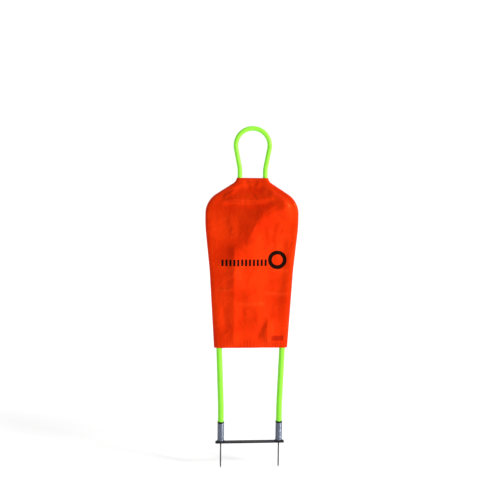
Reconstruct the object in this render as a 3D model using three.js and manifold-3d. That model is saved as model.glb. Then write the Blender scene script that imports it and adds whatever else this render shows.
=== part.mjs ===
// A spring-based training mannequin: a bent tube hoop with a fabric cover on two legs, which stand on
// coil springs over a flat steel bar with two ground spikes. Millimetres, +Z up, front towards -Y.
// The origin is on the ground, under the middle of the bar.
import * as THREE from "three";
import { mergeVertices } from "three/addons/utils/BufferGeometryUtils.js";
import Module from "manifold-3d";

const wasm = await Module();
wasm.setup();

// ---------------------------------------------------------------- driving dimensions

// Overall
const standHeight = 1750; // ground to the top of the head loop
const legPitch = 325; // spike to spike, and so leg to leg at the springs
const shoulderHalf = 237; // middle to the hoop's upright sides under the shoulders

// Clearances
const touchGap = 0.3; // between faces that rest on each other
const slideFit = 0.3; // radial, between a piece and the bore that it slides into
const coverEase = 3; // between the hoop and the edge of the cover
const waistEase = 7;
const hemEase = 12;
const coverDepthEase = 1.5; // between the legs and the panels, front and back

// Base bar
const barOverhang = 30; // past each spike
const barWidth = 32;
const barThickness = 6;
const barCorner = 7;

// Ground spikes
const spikeDiameter = 8; // the rod screws up through the bar, and its upper end clamps the foot together
const spikeReach = 146; // below the ground
const spikePoint = 12; // length of the tapered end
const spikeTip = 1.2; // diameter of the blunt tip

// Spring seats, plugs, washers and nuts
const seatMargin = 3.5; // seat rim past the spring
const seatFloor = 2.5;
const seatLip = 3.5; // rim above the floor
const plugHeight = 20; // of the spring held on each plug
const washerThickness = 1.6;
const washerMargin = 4; // washer past the spike's bore
const nutAcross = 13;
const nutHeight = 6.5;
const spikeStickOut = 2; // past the nut

// Springs
const springDiameter = 37;
const springWire = 4.5;
const springTurns = 21;

// Tubes
const hoopDiameter = 25;
const hoopWall = 2;
const reducerWall = 1.1;
const legWall = 1.8;
const legTop = 700; // height of the joint between leg and hoop
const legFoot = 90; // upright length of a leg above its ferrule, up to its bend
const legLean = THREE.MathUtils.degToRad(2); // outwards, above the bend
const legBend = 900;
const plugSpigot = 48; // of the upper plug inside a leg
const reducerSleeve = 40;
const reducerCollar = 8;
const hoopInsert = 55; // of the hoop inside a leg
const flareRise = 45; // joint to the hoop's outward bend
const flareBend = 400;

// Leg ferrules
const ferruleFloor = 3;
const ferruleSkirt = 5.5;
const ferruleWall = 2.2;

// Hoop above the shoulders, on its centreline
const headRadius = 91;
const throatAngle = THREE.MathUtils.degToRad(11); // off upright, below the head arc
const throatBend = 160;
const neckHalf = 68.3;
const neckBend = 58;
const neckDrop = 198; // middle of the head to the corner of neck and shoulder
const shoulderDrop = 108.5; // that corner to the corner of shoulder and side
const shoulderBend = 112;
const sideDrop = 127; // that corner to the corner where the side leans in
const sideBend = 700;

// Cover
const coverLength = 930;
const coverCollar = 25; // cover above the corner of neck and shoulder
const coverWall = 1.5;
const waistDrop = 366; // corner of the shoulder to the cover's waist
const waistBend = 900;
const seamGap = 0.3; // between the front and back panels at the side seams
const seamBand = 0.6; // straight depth of the two panels' edges at a seam

// Facets
const tubeSides = 12;
const wireSides = 5;
const turnSteps = 10;
const latheSides = 24;
const bendStep = THREE.MathUtils.degToRad(10);
const cornerSteps = 5;
const edgeSteps = 4;

// ---------------------------------------------------------------- sizes that follow

const barLength = legPitch + 2 * barOverhang;
const legHalf = legPitch / 2;
const hoopRadius = hoopDiameter / 2;
const reducerBore = hoopRadius + slideFit;
const reducerOuter = reducerBore + reducerWall;
const legBore = reducerOuter + slideFit;
const legRadius = legBore + legWall;
const spikeRadius = spikeDiameter / 2;
const spikeBore = spikeRadius + slideFit;

const springRadius = springDiameter / 2;
const springPitch = springWire + touchGap;
const springLength = springTurns * springPitch + springWire;
const coilRadius = springRadius - springWire / 2;
// The wire's chords stand closer to the axis than its corners.
const springBore = (coilRadius - springWire / 2) * Math.cos(Math.PI / turnSteps);
const plugRadius = springBore - slideFit;

const seatZ = barThickness + touchGap;
const springZ = seatZ + seatFloor + touchGap;
const springTopZ = springZ + springLength;
const ferruleZ = springTopZ + touchGap;
const legZ = ferruleZ + ferruleFloor + touchGap;
const plugZ = springZ;
const washerZ = plugZ + plugHeight + touchGap;
const washerTopZ = washerZ + washerThickness;
const washerRadius = spikeBore + washerMargin;
const nutZ = washerTopZ + touchGap;
const spikeTopZ = nutZ + nutHeight + spikeStickOut;

const headZ = standHeight - hoopRadius - headRadius;
const neckZ = headZ - neckDrop;
const shoulderZ = neckZ - shoulderDrop;
const sideZ = shoulderZ - sideDrop;
const coverTopZ = neckZ + coverCollar;
const hemZ = coverTopZ - coverLength;
const legBendZ = legZ + legFoot;
const flareZ = legTop + flareRise;

/** How far out a leg's centreline is at a height above its bend. */
const legX = (z) => legHalf + Math.max(0, z - legBendZ) * Math.tan(legLean);

/** How far out the hoop's centreline is at a height between its flare and its upright side. */
function sideX(z) {
  const share = (z - flareZ) / (sideZ - flareZ);
  return THREE.MathUtils.lerp(legX(flareZ), shoulderHalf, share);
}

/** How far out the tubes reach at a height below the hoop's upright side. */
const tubeEdge = (z) => (z < flareZ ? legX(z) + legRadius : sideX(z) + hoopRadius);

// ---------------------------------------------------------------- tools

const at = (x, z) => new THREE.Vector2(x, z);

/** Points along straight runs through the corners, each corner rounded by its bend radius. */
function bentPoints(corners) {
  const points = [corners[0].at];
  for (let i = 1; i < corners.length - 1; i++) {
    const { at: corner, bend } = corners[i];
    const back = corners[i - 1].at.clone().sub(corner).normalize();
    const ahead = corners[i + 1].at.clone().sub(corner).normalize();
    const turn = Math.PI - Math.abs(back.angleTo(ahead));
    const start = corner.clone().addScaledVector(back, bend * Math.tan(turn / 2));
    const centre = back.clone().add(ahead).setLength(bend / Math.cos(turn / 2)).add(corner);
    const way = Math.sign(ahead.cross(back));
    const steps = Math.max(2, Math.ceil(turn / bendStep));
    for (let j = 0; j <= steps; j++) {
      points.push(start.clone().rotateAround(centre, (way * turn * j) / steps));
    }
  }
  points.push(corners.at(-1).at);
  return points;
}

/** A curve through the given points in equal steps of its parameter, so each straight run is one step. */
class StationCurve extends THREE.Curve {
  constructor(stations) {
    super();
    this.stations = stations;
  }

  getPoint(t, target = new THREE.Vector3()) {
    const last = this.stations.length - 1;
    const place = Math.min(Math.max(t, 0), 1) * last;
    const i = Math.min(Math.floor(place), last - 1);
    return target.lerpVectors(this.stations[i], this.stations[i + 1], place - i);
  }

  getPointAt(u, target) {
    return this.getPoint(u, target);
  }

  /** The mean direction of the runs before and after the nearest station. */
  getTangentAt(u, target = new THREE.Vector3()) {
    const last = this.stations.length - 1;
    const i = Math.round(u * last);
    const here = this.stations[i];
    const before = here.clone().sub(this.stations[Math.max(i - 1, 0)]).normalize();
    const after = this.stations[Math.min(i + 1, last)].clone().sub(here).normalize();
    return target.addVectors(before, after).normalize();
  }
}

/** A regular polygon's corners. */
function ring(radius, sides) {
  const spoke = (_, i) => at(radius, 0).rotateAround(at(0, 0), (2 * Math.PI * i) / sides);
  return Array.from({ length: sides }, spoke);
}

/** The corner radius of a faceted bore whose flats lie at the real radius, so that facets cost no fit. */
const boreCorner = (radius, sides) => radius / Math.cos(Math.PI / sides);

/** A section of one radius swept along stations, hollow if a bore is given. */
function sweep(stations, radius, sides, bore = 0) {
  const section = new THREE.Shape(ring(radius, sides));
  if (bore > 0) {
    section.holes.push(new THREE.Path(ring(boreCorner(bore, sides), sides)));
  }
  return new THREE.ExtrudeGeometry(section, {
    steps: stations.length - 1,
    extrudePath: new StationCurve(stations),
    bevelEnabled: false,
  });
}

/** Stations in the upright plane from flat points. */
const upright = (points) => points.map((p) => new THREE.Vector3(p.x, 0, p.y));

/** A profile of [radius, height] pairs turned about Z. It starts and ends on the axis, or closes on itself. */
function turned(profile) {
  const points = profile.map(([r, z]) => at(r, z));
  return new THREE.LatheGeometry(points, latheSides).rotateX(Math.PI / 2);
}

/** The corner radius of a turned bore. */
const turnedBore = (radius) => boreCorner(radius, latheSides);

/** A flat-ended sleeve about Z, from height low to high. */
function sleeve(bore, outer, low, high) {
  const inner = turnedBore(bore);
  return turned([
    [inner, low],
    [outer, low],
    [outer, high],
    [inner, high],
    [inner, low],
  ]);
}

/** A geometry as a manifold solid. */
function solid(geometry) {
  const bare = new THREE.BufferGeometry();
  bare.setAttribute("position", geometry.getAttribute("position"));
  bare.setIndex(geometry.getIndex());
  const merged = mergeVertices(bare, 1e-4);
  const mesh = new wasm.Mesh({
    numProp: 3,
    vertProperties: merged.attributes.position.array,
    triVerts: new Uint32Array(merged.index.array),
  });
  return new wasm.Manifold(mesh);
}

/** A manifold solid as a geometry. */
function geometryOf(manifold) {
  const mesh = manifold.getMesh();
  const position = new THREE.BufferAttribute(new Float32Array(mesh.vertProperties), 3);
  const index = new THREE.BufferAttribute(new Uint32Array(mesh.triVerts), 1);
  return new THREE.BufferGeometry().setAttribute("position", position).setIndex(index);
}

const material = (color, roughness, metalness = 0) =>
  new THREE.MeshStandardMaterial({ color, roughness, metalness });

const blackSteel = material("#2b2931", 0.55, 0.4);
const spikeSteel = material("#8e8b90", 0.45, 0.9);
const springSteel = material("#8f95a6", 0.38, 0.9);
const zincSteel = material("#b9bcc2", 0.35, 0.9);
const blackPlastic = material("#1d1d20", 0.6);
const greenTube = material("#7ce02a", 0.45);
const orangeFabric = material("#e8380c", 0.55);

const mannequin = new THREE.Group();

/** Adds a named mesh to the mannequin, or to one of its groups. */
function add(name, geometry, finish, parent = mannequin) {
  const mesh = new THREE.Mesh(geometry, finish);
  mesh.name = name;
  parent.add(mesh);
  return mesh;
}

// ---------------------------------------------------------------- pieces

/** The flat bar that joins the feet, with a hole for each spike. */
function baseBar() {
  const [w, d, r] = [barLength / 2, barWidth / 2, barCorner];
  const plan = new THREE.Shape();
  plan.moveTo(-w + r, -d);
  plan.lineTo(w - r, -d);
  plan.absarc(w - r, -d + r, r, -Math.PI / 2, 0);
  plan.absarc(w - r, d - r, r, 0, Math.PI / 2);
  plan.absarc(-w + r, d - r, r, Math.PI / 2, Math.PI);
  plan.absarc(-w + r, -d + r, r, Math.PI, 1.5 * Math.PI);
  for (const side of [-1, 1]) {
    const hole = ring(boreCorner(spikeBore, tubeSides), tubeSides);
    hole.forEach((p) => p.add(at(side * legHalf, 0)));
    plan.holes.push(new THREE.Path(hole));
  }
  return new THREE.ExtrudeGeometry(plan, {
    depth: barThickness,
    bevelEnabled: false,
    curveSegments: cornerSteps,
  });
}

/** A spike: a tapered point, and a plain rod up through the bar and the rest of the foot. */
function groundSpike() {
  return turned([
    [0, -spikeReach],
    [spikeTip / 2, -spikeReach],
    [spikeRadius, -spikeReach + spikePoint],
    [spikeRadius, spikeTopZ],
    [0, spikeTopZ],
  ]);
}

/** The cup that a spring stands in. */
function springSeat() {
  const hole = turnedBore(spikeBore);
  const recess = turnedBore(springRadius + slideFit);
  const rim = springRadius + seatMargin;
  const floorZ = seatZ + seatFloor;
  const lipZ = floorZ + seatLip;
  return turned([
    [hole, seatZ],
    [rim, seatZ],
    [rim, lipZ],
    [recess, lipZ],
    [recess, floorZ],
    [hole, floorZ],
    [hole, seatZ],
  ]);
}

/** A close-wound coil with a small gap between its turns. */
function coilSpring() {
  const count = springTurns * turnSteps;
  const stations = Array.from({ length: count + 1 }, (_, i) => {
    const angle = (2 * Math.PI * i) / turnSteps;
    const rise = springZ + springWire / 2 + (springPitch * i) / turnSteps;
    return new THREE.Vector3(coilRadius * Math.cos(angle), coilRadius * Math.sin(angle), rise);
  });
  return sweep(stations, springWire / 2, wireSides);
}

/** The plug that carries a leg: one end in the spring, the middle in the ferrule, the top in the tube. */
function upperPlug() {
  const foot = springTopZ - plugHeight;
  const top = legZ + plugSpigot;
  const spigot = legBore - slideFit;
  return turned([
    [0, foot],
    [plugRadius, foot],
    [plugRadius, legZ],
    [spigot, legZ],
    [spigot, top],
    [0, top],
  ]);
}

/** The black cup between a spring and the lower end of its leg. */
function legFerrule() {
  const hole = turnedBore(plugRadius + slideFit);
  const outer = legRadius + slideFit + ferruleWall;
  const pocket = turnedBore(legRadius + slideFit);
  const floorZ = ferruleZ + ferruleFloor;
  const skirtZ = floorZ + ferruleSkirt;
  return turned([
    [hole, ferruleZ],
    [outer, ferruleZ],
    [outer, skirtZ],
    [pocket, skirtZ],
    [pocket, floorZ],
    [hole, floorZ],
    [hole, ferruleZ],
  ]);
}

/** A leg's centreline, upright through the plug and then leaning out to the joint. */
function legStations(side) {
  const corners = [
    { at: at(side * legHalf, legZ) },
    { at: at(side * legHalf, legBendZ), bend: legBend },
    { at: at(side * legX(legTop), legTop) },
  ];
  return upright(bentPoints(corners));
}

/** The bush that steps a leg down to the hoop, along its own axis from the top of the leg. */
function tubeReducer() {
  const hole = turnedBore(reducerBore);
  return turned([
    [hole, -reducerSleeve],
    [reducerOuter, -reducerSleeve],
    [reducerOuter, touchGap],
    [legRadius, touchGap],
    [legRadius, touchGap + reducerCollar],
    [hole, touchGap + reducerCollar],
    [hole, -reducerSleeve],
  ]);
}

/** The corners of the hoop's right side, from inside the leg to the start of the head arc. */
function hoopCorners() {
  const endZ = legTop - hoopInsert;
  const armX = headRadius * Math.cos(throatAngle);
  const armZ = headZ - headRadius * Math.sin(throatAngle);
  const throatZ = armZ - (armX - neckHalf) / Math.tan(throatAngle);
  return [
    { at: at(legX(endZ), endZ) },
    { at: at(legX(flareZ), flareZ), bend: flareBend },
    { at: at(shoulderHalf, sideZ), bend: sideBend },
    { at: at(shoulderHalf, shoulderZ), bend: shoulderBend },
    { at: at(neckHalf, neckZ), bend: neckBend },
    { at: at(neckHalf, throatZ), bend: throatBend },
    { at: at(armX, armZ) },
  ];
}

/** The whole hoop's centreline: up the right side, round the head and down the left side. */
function hoopStations() {
  const right = bentPoints(hoopCorners());
  const centre = at(0, headZ);
  const sweepAngle = Math.PI + 2 * throatAngle;
  const steps = Math.ceil(sweepAngle / bendStep);
  const start = right.at(-1);
  const head = Array.from({ length: steps - 1 }, (_, i) =>
    start.clone().rotateAround(centre, (sweepAngle * (i + 1)) / steps),
  );
  const left = right.map((p) => at(-p.x, p.y)).reverse();
  return upright([...right, ...head, ...left]);
}

/** The line parallel to a run from a to b, moved out to its right. */
function offsetLine(a, b, distance) {
  const run = b.clone().sub(a).normalize();
  const out = at(run.y, -run.x).multiplyScalar(distance);
  return { from: a.clone().add(out), run };
}

/** Where two lines cross. */
function crossing(first, second) {
  const between = second.from.clone().sub(first.from);
  const along = between.cross(second.run) / first.run.cross(second.run);
  return first.from.clone().addScaledVector(first.run, along);
}

/** The cover's edge as seen from the front, as corners up its right side, run past its two open ends. */
function coverCorners(overrun) {
  const margin = hoopRadius + coverEase;
  const [, , side, shoulder, neck] = hoopCorners().map((corner) => corner.at);
  const waistZ = shoulderZ - waistDrop;
  const waistX = tubeEdge(waistZ) + waistEase;
  const hemX = tubeEdge(hemZ) + hemEase;
  const taper = (waistX - hemX) / (waistZ - hemZ);
  const shoulderLine = offsetLine(shoulder, neck, margin);
  const sideLine = offsetLine(side, shoulder, margin);
  const neckLine = offsetLine(neck, at(neckHalf, coverTopZ), margin);
  return [
    { at: at(hemX - taper * overrun, hemZ - overrun) },
    { at: at(waistX, waistZ), bend: waistBend },
    { at: at(shoulderHalf + margin, sideZ), bend: sideBend + margin },
    { at: crossing(sideLine, shoulderLine), bend: shoulderBend + margin },
    { at: crossing(shoulderLine, neckLine), bend: neckBend - margin },
    { at: at(neckHalf + margin, coverTopZ + overrun) },
  ];
}

/** A box as a solid, wider than the cover and as long, between two depths. */
function coverBlock(nearY, farY) {
  const box = new THREE.BoxGeometry(4 * shoulderHalf, farY - nearY, coverLength);
  return solid(box.translate(0, (nearY + farY) / 2, hemZ + coverLength / 2));
}

/** The front and back panels, each a skin that curls round the tubes to the side seams. */
function coverPanels() {
  const depth = legRadius + coverDepthEase + coverWall;
  const overrun = 2 * depth;
  const right = bentPoints(coverCorners(overrun));
  const left = right.map((p) => at(-p.x, p.y)).reverse();
  const outline = new THREE.Shape([...right, ...left]);
  const pillow = (inset) => {
    const geometry = new THREE.ExtrudeGeometry(outline, {
      depth: seamBand,
      bevelThickness: depth - inset,
      bevelSize: depth - inset,
      bevelOffset: -depth,
      bevelSegments: edgeSteps,
    });
    return solid(geometry.translate(0, 0, -seamBand / 2).rotateX(Math.PI / 2));
  };
  const bag = pillow(0).subtract(pillow(coverWall));
  const front = coverBlock(-2 * depth, -seamGap / 2);
  const back = coverBlock(seamGap / 2, 2 * depth);
  return [bag.intersect(front), bag.intersect(back)].map(geometryOf);
}

/** A nut, as a hexagon with a round bore, at its height on the spike. */
function spikeNut() {
  const corner = nutAcross / 2 / Math.cos(Math.PI / 6);
  const plan = new THREE.Shape(ring(corner, 6));
  plan.holes.push(new THREE.Path(ring(boreCorner(spikeBore, tubeSides), tubeSides)));
  const nut = new THREE.ExtrudeGeometry(plan, { depth: nutHeight, bevelEnabled: false });
  return nut.translate(0, 0, nutZ);
}

// ---------------------------------------------------------------- the mannequin

add("base_bar", baseBar(), blackSteel);

for (const [name, side] of [["left", -1], ["right", 1]]) {
  const foot = new THREE.Group();
  foot.position.x = side * legHalf;
  mannequin.add(foot);
  add(`ground_spike_${name}`, groundSpike(), spikeSteel, foot);
  add(`spring_seat_${name}`, springSeat(), blackPlastic, foot);
  add(`lower_plug_${name}`, sleeve(spikeBore, plugRadius, plugZ, plugZ + plugHeight), blackPlastic, foot);
  add(`spike_washer_${name}`, sleeve(spikeBore, washerRadius, washerZ, washerTopZ), zincSteel, foot);
  add(`spike_nut_${name}`, spikeNut(), zincSteel, foot);
  add(`spring_${name}`, coilSpring(), springSteel, foot);
  add(`upper_plug_${name}`, upperPlug(), blackPlastic, foot);
  add(`leg_ferrule_${name}`, legFerrule(), blackPlastic, foot);
  add(`leg_tube_${name}`, sweep(legStations(side), legRadius, tubeSides, legBore), greenTube);

  const joint = new THREE.Group();
  joint.position.set(side * legX(legTop), 0, legTop);
  joint.rotation.y = side * legLean;
  mannequin.add(joint);
  add(`tube_reducer_${name}`, tubeReducer(), blackPlastic, joint);
}

add("hoop_tube", sweep(hoopStations(), hoopRadius, tubeSides, hoopRadius - hoopWall), greenTube);

const [frontPanel, backPanel] = coverPanels();
add("cover_front_panel", frontPanel, orangeFabric);
add("cover_back_panel", backPanel, orangeFabric);

export default mannequin;
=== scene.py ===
"""A free-kick training mannequin: tube hoop, satin cover, two legs on coil springs, bar and ground spikes.

Metres, +Z up, front towards -Y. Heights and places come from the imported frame; bends and details are the
fields of the classes below.
"""
import logging
import math
from dataclasses import dataclass
from enum import Enum
from typing import Iterable, Sequence

import bmesh
import bpy
import numpy as np
from mathutils import Matrix, Vector, noise


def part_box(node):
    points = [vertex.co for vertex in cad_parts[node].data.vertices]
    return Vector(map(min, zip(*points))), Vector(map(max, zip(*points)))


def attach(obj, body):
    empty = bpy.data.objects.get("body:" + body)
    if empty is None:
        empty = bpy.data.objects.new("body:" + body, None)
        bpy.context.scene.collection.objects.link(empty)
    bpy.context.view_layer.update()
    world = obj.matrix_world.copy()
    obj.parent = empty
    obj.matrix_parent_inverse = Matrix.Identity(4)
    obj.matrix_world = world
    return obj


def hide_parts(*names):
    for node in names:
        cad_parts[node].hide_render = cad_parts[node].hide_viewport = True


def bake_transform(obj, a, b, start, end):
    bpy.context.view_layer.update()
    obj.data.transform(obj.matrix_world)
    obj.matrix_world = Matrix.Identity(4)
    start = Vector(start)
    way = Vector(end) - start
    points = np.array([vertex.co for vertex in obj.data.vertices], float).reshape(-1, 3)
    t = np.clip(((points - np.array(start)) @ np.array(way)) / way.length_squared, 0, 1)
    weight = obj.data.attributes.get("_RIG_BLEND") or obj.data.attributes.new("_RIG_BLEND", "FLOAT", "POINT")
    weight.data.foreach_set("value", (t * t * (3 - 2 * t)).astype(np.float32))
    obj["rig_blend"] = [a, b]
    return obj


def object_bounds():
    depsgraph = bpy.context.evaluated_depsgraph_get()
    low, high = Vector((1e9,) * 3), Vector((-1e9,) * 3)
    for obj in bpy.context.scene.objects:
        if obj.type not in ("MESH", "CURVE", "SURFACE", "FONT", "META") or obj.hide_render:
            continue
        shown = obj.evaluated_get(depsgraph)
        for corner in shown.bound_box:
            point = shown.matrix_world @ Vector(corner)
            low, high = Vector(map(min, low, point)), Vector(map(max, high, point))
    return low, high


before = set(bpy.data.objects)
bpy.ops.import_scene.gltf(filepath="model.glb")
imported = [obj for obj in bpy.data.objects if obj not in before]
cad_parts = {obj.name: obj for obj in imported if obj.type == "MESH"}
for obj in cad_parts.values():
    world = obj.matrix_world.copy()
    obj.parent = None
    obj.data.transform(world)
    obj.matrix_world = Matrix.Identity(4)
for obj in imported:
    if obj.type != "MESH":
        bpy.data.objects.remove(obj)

LOG = logging.getLogger("mannequin")
CAD_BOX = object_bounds()

Colour = tuple[float, float, float]
Point = tuple[float, float]


# -------- shader maths


def dye(code: str) -> Colour:
    """Turns a colour as a screen shows it into the linear one that shaders use.

    Args:
        code: Six hexadecimal digits after a hash.

    Returns:
        Red, green and blue, from 0 to 1.
    """
    shown = [int(code[i : i + 2], 16) / 255 for i in (1, 3, 5)]
    red, green, blue = (c / 12.92 if c <= 0.04045 else ((c + 0.055) / 1.055) ** 2.4 for c in shown)
    return red, green, blue


class Value:
    """A number that changes over a surface; Python's operators on it add Math nodes."""

    def __init__(self, tree: "NodeTree", socket: bpy.types.NodeSocket) -> None:
        """Wraps a socket of a tree."""
        self.tree = tree
        self.socket = socket

    def math(self, operation: str, *others: "Value | float", first: bool = True) -> "Value":
        """Adds a Math node.

        Args:
            operation: The node's operation.
            others: Its other numbers.
            first: Whether this value comes before them.

        Returns:
            The node's result.
        """
        terms = [self, *others] if first else [*others, self]
        node = self.tree.node("ShaderNodeMath", {"operation": operation}, dict(enumerate(terms)))
        return Value(self.tree, node.outputs[0])

    def __add__(self, other: "Value | float") -> "Value":
        """This plus other."""
        return self.math("ADD", other)

    def __sub__(self, other: "Value | float") -> "Value":
        """This minus other."""
        return self.math("SUBTRACT", other)

    def __rsub__(self, other: float) -> "Value":
        """Other minus this."""
        return self.math("SUBTRACT", other, first=False)

    def __mul__(self, other: "Value | float") -> "Value":
        """This times other."""
        return self.math("MULTIPLY", other)

    def __truediv__(self, other: "Value | float") -> "Value":
        """This over other."""
        return self.math("DIVIDE", other)

    __radd__ = __add__
    __rmul__ = __mul__

    def within(self, limit: "Value | float") -> "Value":
        """1 where this is less than the limit, else 0."""
        return self.math("LESS_THAN", limit)

    def step(self, low: float, high: float) -> "Value":
        """Rises smoothly from 0 at low to 1 at high.

        Args:
            low: Where the rise starts.
            high: Where it ends.

        Returns:
            The smooth step.
        """
        settings = {"interpolation_type": "SMOOTHSTEP"}
        values = {"Value": self, "From Min": low, "From Max": high, "To Min": 0.0, "To Max": 1.0}
        return Value(self.tree, self.tree.node("ShaderNodeMapRange", settings, values).outputs[0])


class NodeTree:
    """A tree of shader nodes, and the coordinates that it works from."""

    def __init__(self, tree: bpy.types.ShaderNodeTree, coordinates: str) -> None:
        """Empties a tree and adds its coordinates.

        Args:
            tree: The tree of a material or a world.
            coordinates: Which output of the coordinates node it uses.
        """
        self.tree = tree
        self.tree.nodes.clear()
        self.place = self.node("ShaderNodeTexCoord").outputs[coordinates]
        parts = self.node("ShaderNodeSeparateXYZ", None, {"Vector": self.place})
        self.x, self.y, self.z = (Value(self, socket) for socket in parts.outputs)

    def node(self, kind: str, settings: dict | None = None, values: dict | None = None) -> bpy.types.Node:
        """Makes a node.

        Args:
            kind: The node's type.
            settings: Its properties, which are set first.
            values: Socket names or numbers, each with a value or a link.

        Returns:
            The node.
        """
        node = self.tree.nodes.new(kind)
        for key, value in (settings or {}).items():
            setattr(node, key, value)
        for key, value in (values or {}).items():
            self.feed(node.inputs[key], value)
        return node

    def feed(self, socket: bpy.types.NodeSocket, value: object) -> None:
        """Links a socket to a value or another socket, or sets it.

        Args:
            socket: The socket to set.
            value: A value, another socket, a colour or a number.
        """
        if isinstance(value, Value):
            self.tree.links.new(value.socket, socket)
        elif isinstance(value, bpy.types.NodeSocket):
            self.tree.links.new(value, socket)
        elif socket.type == "RGBA" and len(value) == 3:
            socket.default_value = (*value, 1.0)
        else:
            socket.default_value = value


class Shading(NodeTree):
    """The node tree of one material."""

    def __init__(self, name: str) -> None:
        """Starts an empty material.

        Args:
            name: The material's name.
        """
        self.material = bpy.data.materials.new(name)
        self.material.use_nodes = True
        super().__init__(self.material.node_tree, "Object")

    def cloud(self, scale: float, detail: float = 2.0, stretch: Sequence[float] = (1, 1, 1)) -> Value:
        """Soft noise.

        Args:
            scale: Blotches per metre.
            detail: Octaves of finer noise.
            stretch: Scale along each axis.

        Returns:
            Noise from 0 to 1.
        """
        place = self.node("ShaderNodeMapping", None, {"Vector": self.place, "Scale": stretch}).outputs[0]
        values = {"Vector": place, "Scale": scale, "Detail": detail}
        return Value(self, self.node("ShaderNodeTexNoise", None, values).outputs[0])

    def cracks(self, scale: float, wander: float) -> Value:
        """Distance to the nearest line of a net of straight cracks, as crumpled cloth keeps.

        Args:
            scale: Cells per metre.
            wander: How far the lines stray from straight, in metres.

        Returns:
            The distance, in cells.
        """
        noise_values = {"Vector": self.place, "Scale": scale * 0.6, "Detail": 2.0}
        stray = self.node("ShaderNodeTexNoise", None, noise_values).outputs[1]
        shift = self.node("ShaderNodeVectorMath", {"operation": "SCALE"}, {0: stray, 3: wander})
        moved = self.node("ShaderNodeVectorMath", {"operation": "ADD"}, {0: self.place, 1: shift.outputs[0]})
        values = {"Vector": moved.outputs[0], "Scale": scale}
        settings = {"feature": "DISTANCE_TO_EDGE"}
        return Value(self, self.node("ShaderNodeTexVoronoi", settings, values).outputs["Distance"])

    def attribute(self, name: str) -> Value:
        """A number that the mesh carries at its points."""
        return Value(self, self.node("ShaderNodeAttribute", {"attribute_name": name}).outputs["Fac"])

    def blend(self, share: "Value | float", first: object, second: object) -> bpy.types.NodeSocket:
        """Mixes two colours.

        Args:
            share: How much of the second.
            first: A colour or a link.
            second: A colour or a link.

        Returns:
            The mixed colour.
        """
        settings = {"data_type": "RGBA", "clamp_factor": True}
        return self.node("ShaderNodeMix", settings, {0: share, 6: first, 7: second}).outputs[2]

    def bump(self, height: Value, distance: float, under: object = None) -> bpy.types.NodeSocket:
        """Relief too fine for the mesh.

        Args:
            height: From 0 to 1.
            distance: What 1 stands for, in metres.
            under: A bump to lay this one over.

        Returns:
            The normal.
        """
        values = {"Height": height, "Distance": distance, "Strength": 1.0}
        if under is not None:
            values["Normal"] = under
        return self.node("ShaderNodeBump", None, values).outputs[0]

    def finish(self, values: dict) -> bpy.types.Material:
        """Ends the tree with its surface.

        Args:
            values: The Principled shader's sockets.

        Returns:
            The material.
        """
        shader = self.node("ShaderNodeBsdfPrincipled", None, values)
        self.node("ShaderNodeOutputMaterial", None, {"Surface": shader.outputs[0]})
        return self.material


# -------- finishes


@dataclass(frozen=True)
class FluorescentTube:
    """Satin-gloss extruded plastic in a day-glow green, lightly scuffed, with a faint painted glow in its own
    colour.
    """

    name: str = "fluorescent_tube"
    colour: Colour = (0.275, 0.800, 0.045)
    deep: Colour = (0.230, 0.740, 0.032)
    # Strength of the painted glow: light that the tube gives off itself, though it is no lamp.
    glow: float = 0.03
    roughness: float = 0.38

    def build(self) -> bpy.types.Material:
        """Makes the material.

        Returns:
            The material.
        """
        shading = Shading(self.name)
        drawn = shading.cloud(900, 2, (1, 1, 0.02))
        scuffs = shading.cloud(160, 4).step(0.58, 0.75)
        base = shading.blend(shading.cloud(14), self.colour, self.deep)
        relief = shading.bump(drawn, 0.00003, shading.bump(scuffs, 0.00005))
        return shading.finish(
            {
                "Base Color": base,
                "Roughness": self.roughness + 0.08 * drawn + 0.16 * scuffs,
                "Normal": relief,
                # Painted glow: the tube gives off a little light in its own colour, which makes it brighter
                # than the lamps alone make it.
                "Emission Color": self.colour,
                "Emission Strength": self.glow,
                "Specular IOR Level": 0.22,
            }
        )


@dataclass(frozen=True)
class PowderCoat:
    """Matt black paint on flat steel, with a fine orange-peel and a few rubbed places."""

    name: str = "powder_coat"
    colour: Colour = dye("#201e25")
    worn: Colour = dye("#4a484f")
    roughness: float = 0.5

    def build(self) -> bpy.types.Material:
        """Makes the material.

        Returns:
            The material.
        """
        shading = Shading(self.name)
        peel = shading.cloud(1400, 1)
        rubbed = shading.cloud(70, 6, (0.35, 1, 1)).step(0.66, 0.74)
        base = shading.blend(0.5 * rubbed, self.colour, self.worn)
        return shading.finish(
            {
                "Base Color": base,
                "Roughness": self.roughness - 0.12 * rubbed + 0.08 * peel,
                "Metallic": 0.5 * rubbed,
                "Specular IOR Level": 0.2,
                "Normal": shading.bump(peel, 0.00006),
            }
        )


@dataclass(frozen=True)
class DrawnSteel:
    """Bare drawn steel, for wire, rod and fasteners, with fine lines and darker stains."""

    name: str
    colour: Colour
    stain: Colour
    roughness: float
    stain_from: float = 0.55
    lines: Sequence[float] = (1, 1, 0.03)
    edge: Colour = (0.30, 0.31, 0.34)

    def build(self) -> bpy.types.Material:
        """Makes the material.

        Returns:
            The material.
        """
        shading = Shading(self.name)
        drawn = shading.cloud(1200, 2, self.lines)
        stains = shading.cloud(60, 5).step(self.stain_from, self.stain_from + 0.2)
        return shading.finish(
            {
                "Base Color": shading.blend(0.8 * stains, self.colour, self.stain),
                "Metallic": 1.0 - 0.35 * stains,
                "Specular Tint": self.edge,
                "Roughness": self.roughness + 0.14 * drawn + 0.2 * stains,
                "Normal": shading.bump(drawn, 0.00003),
            }
        )


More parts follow.
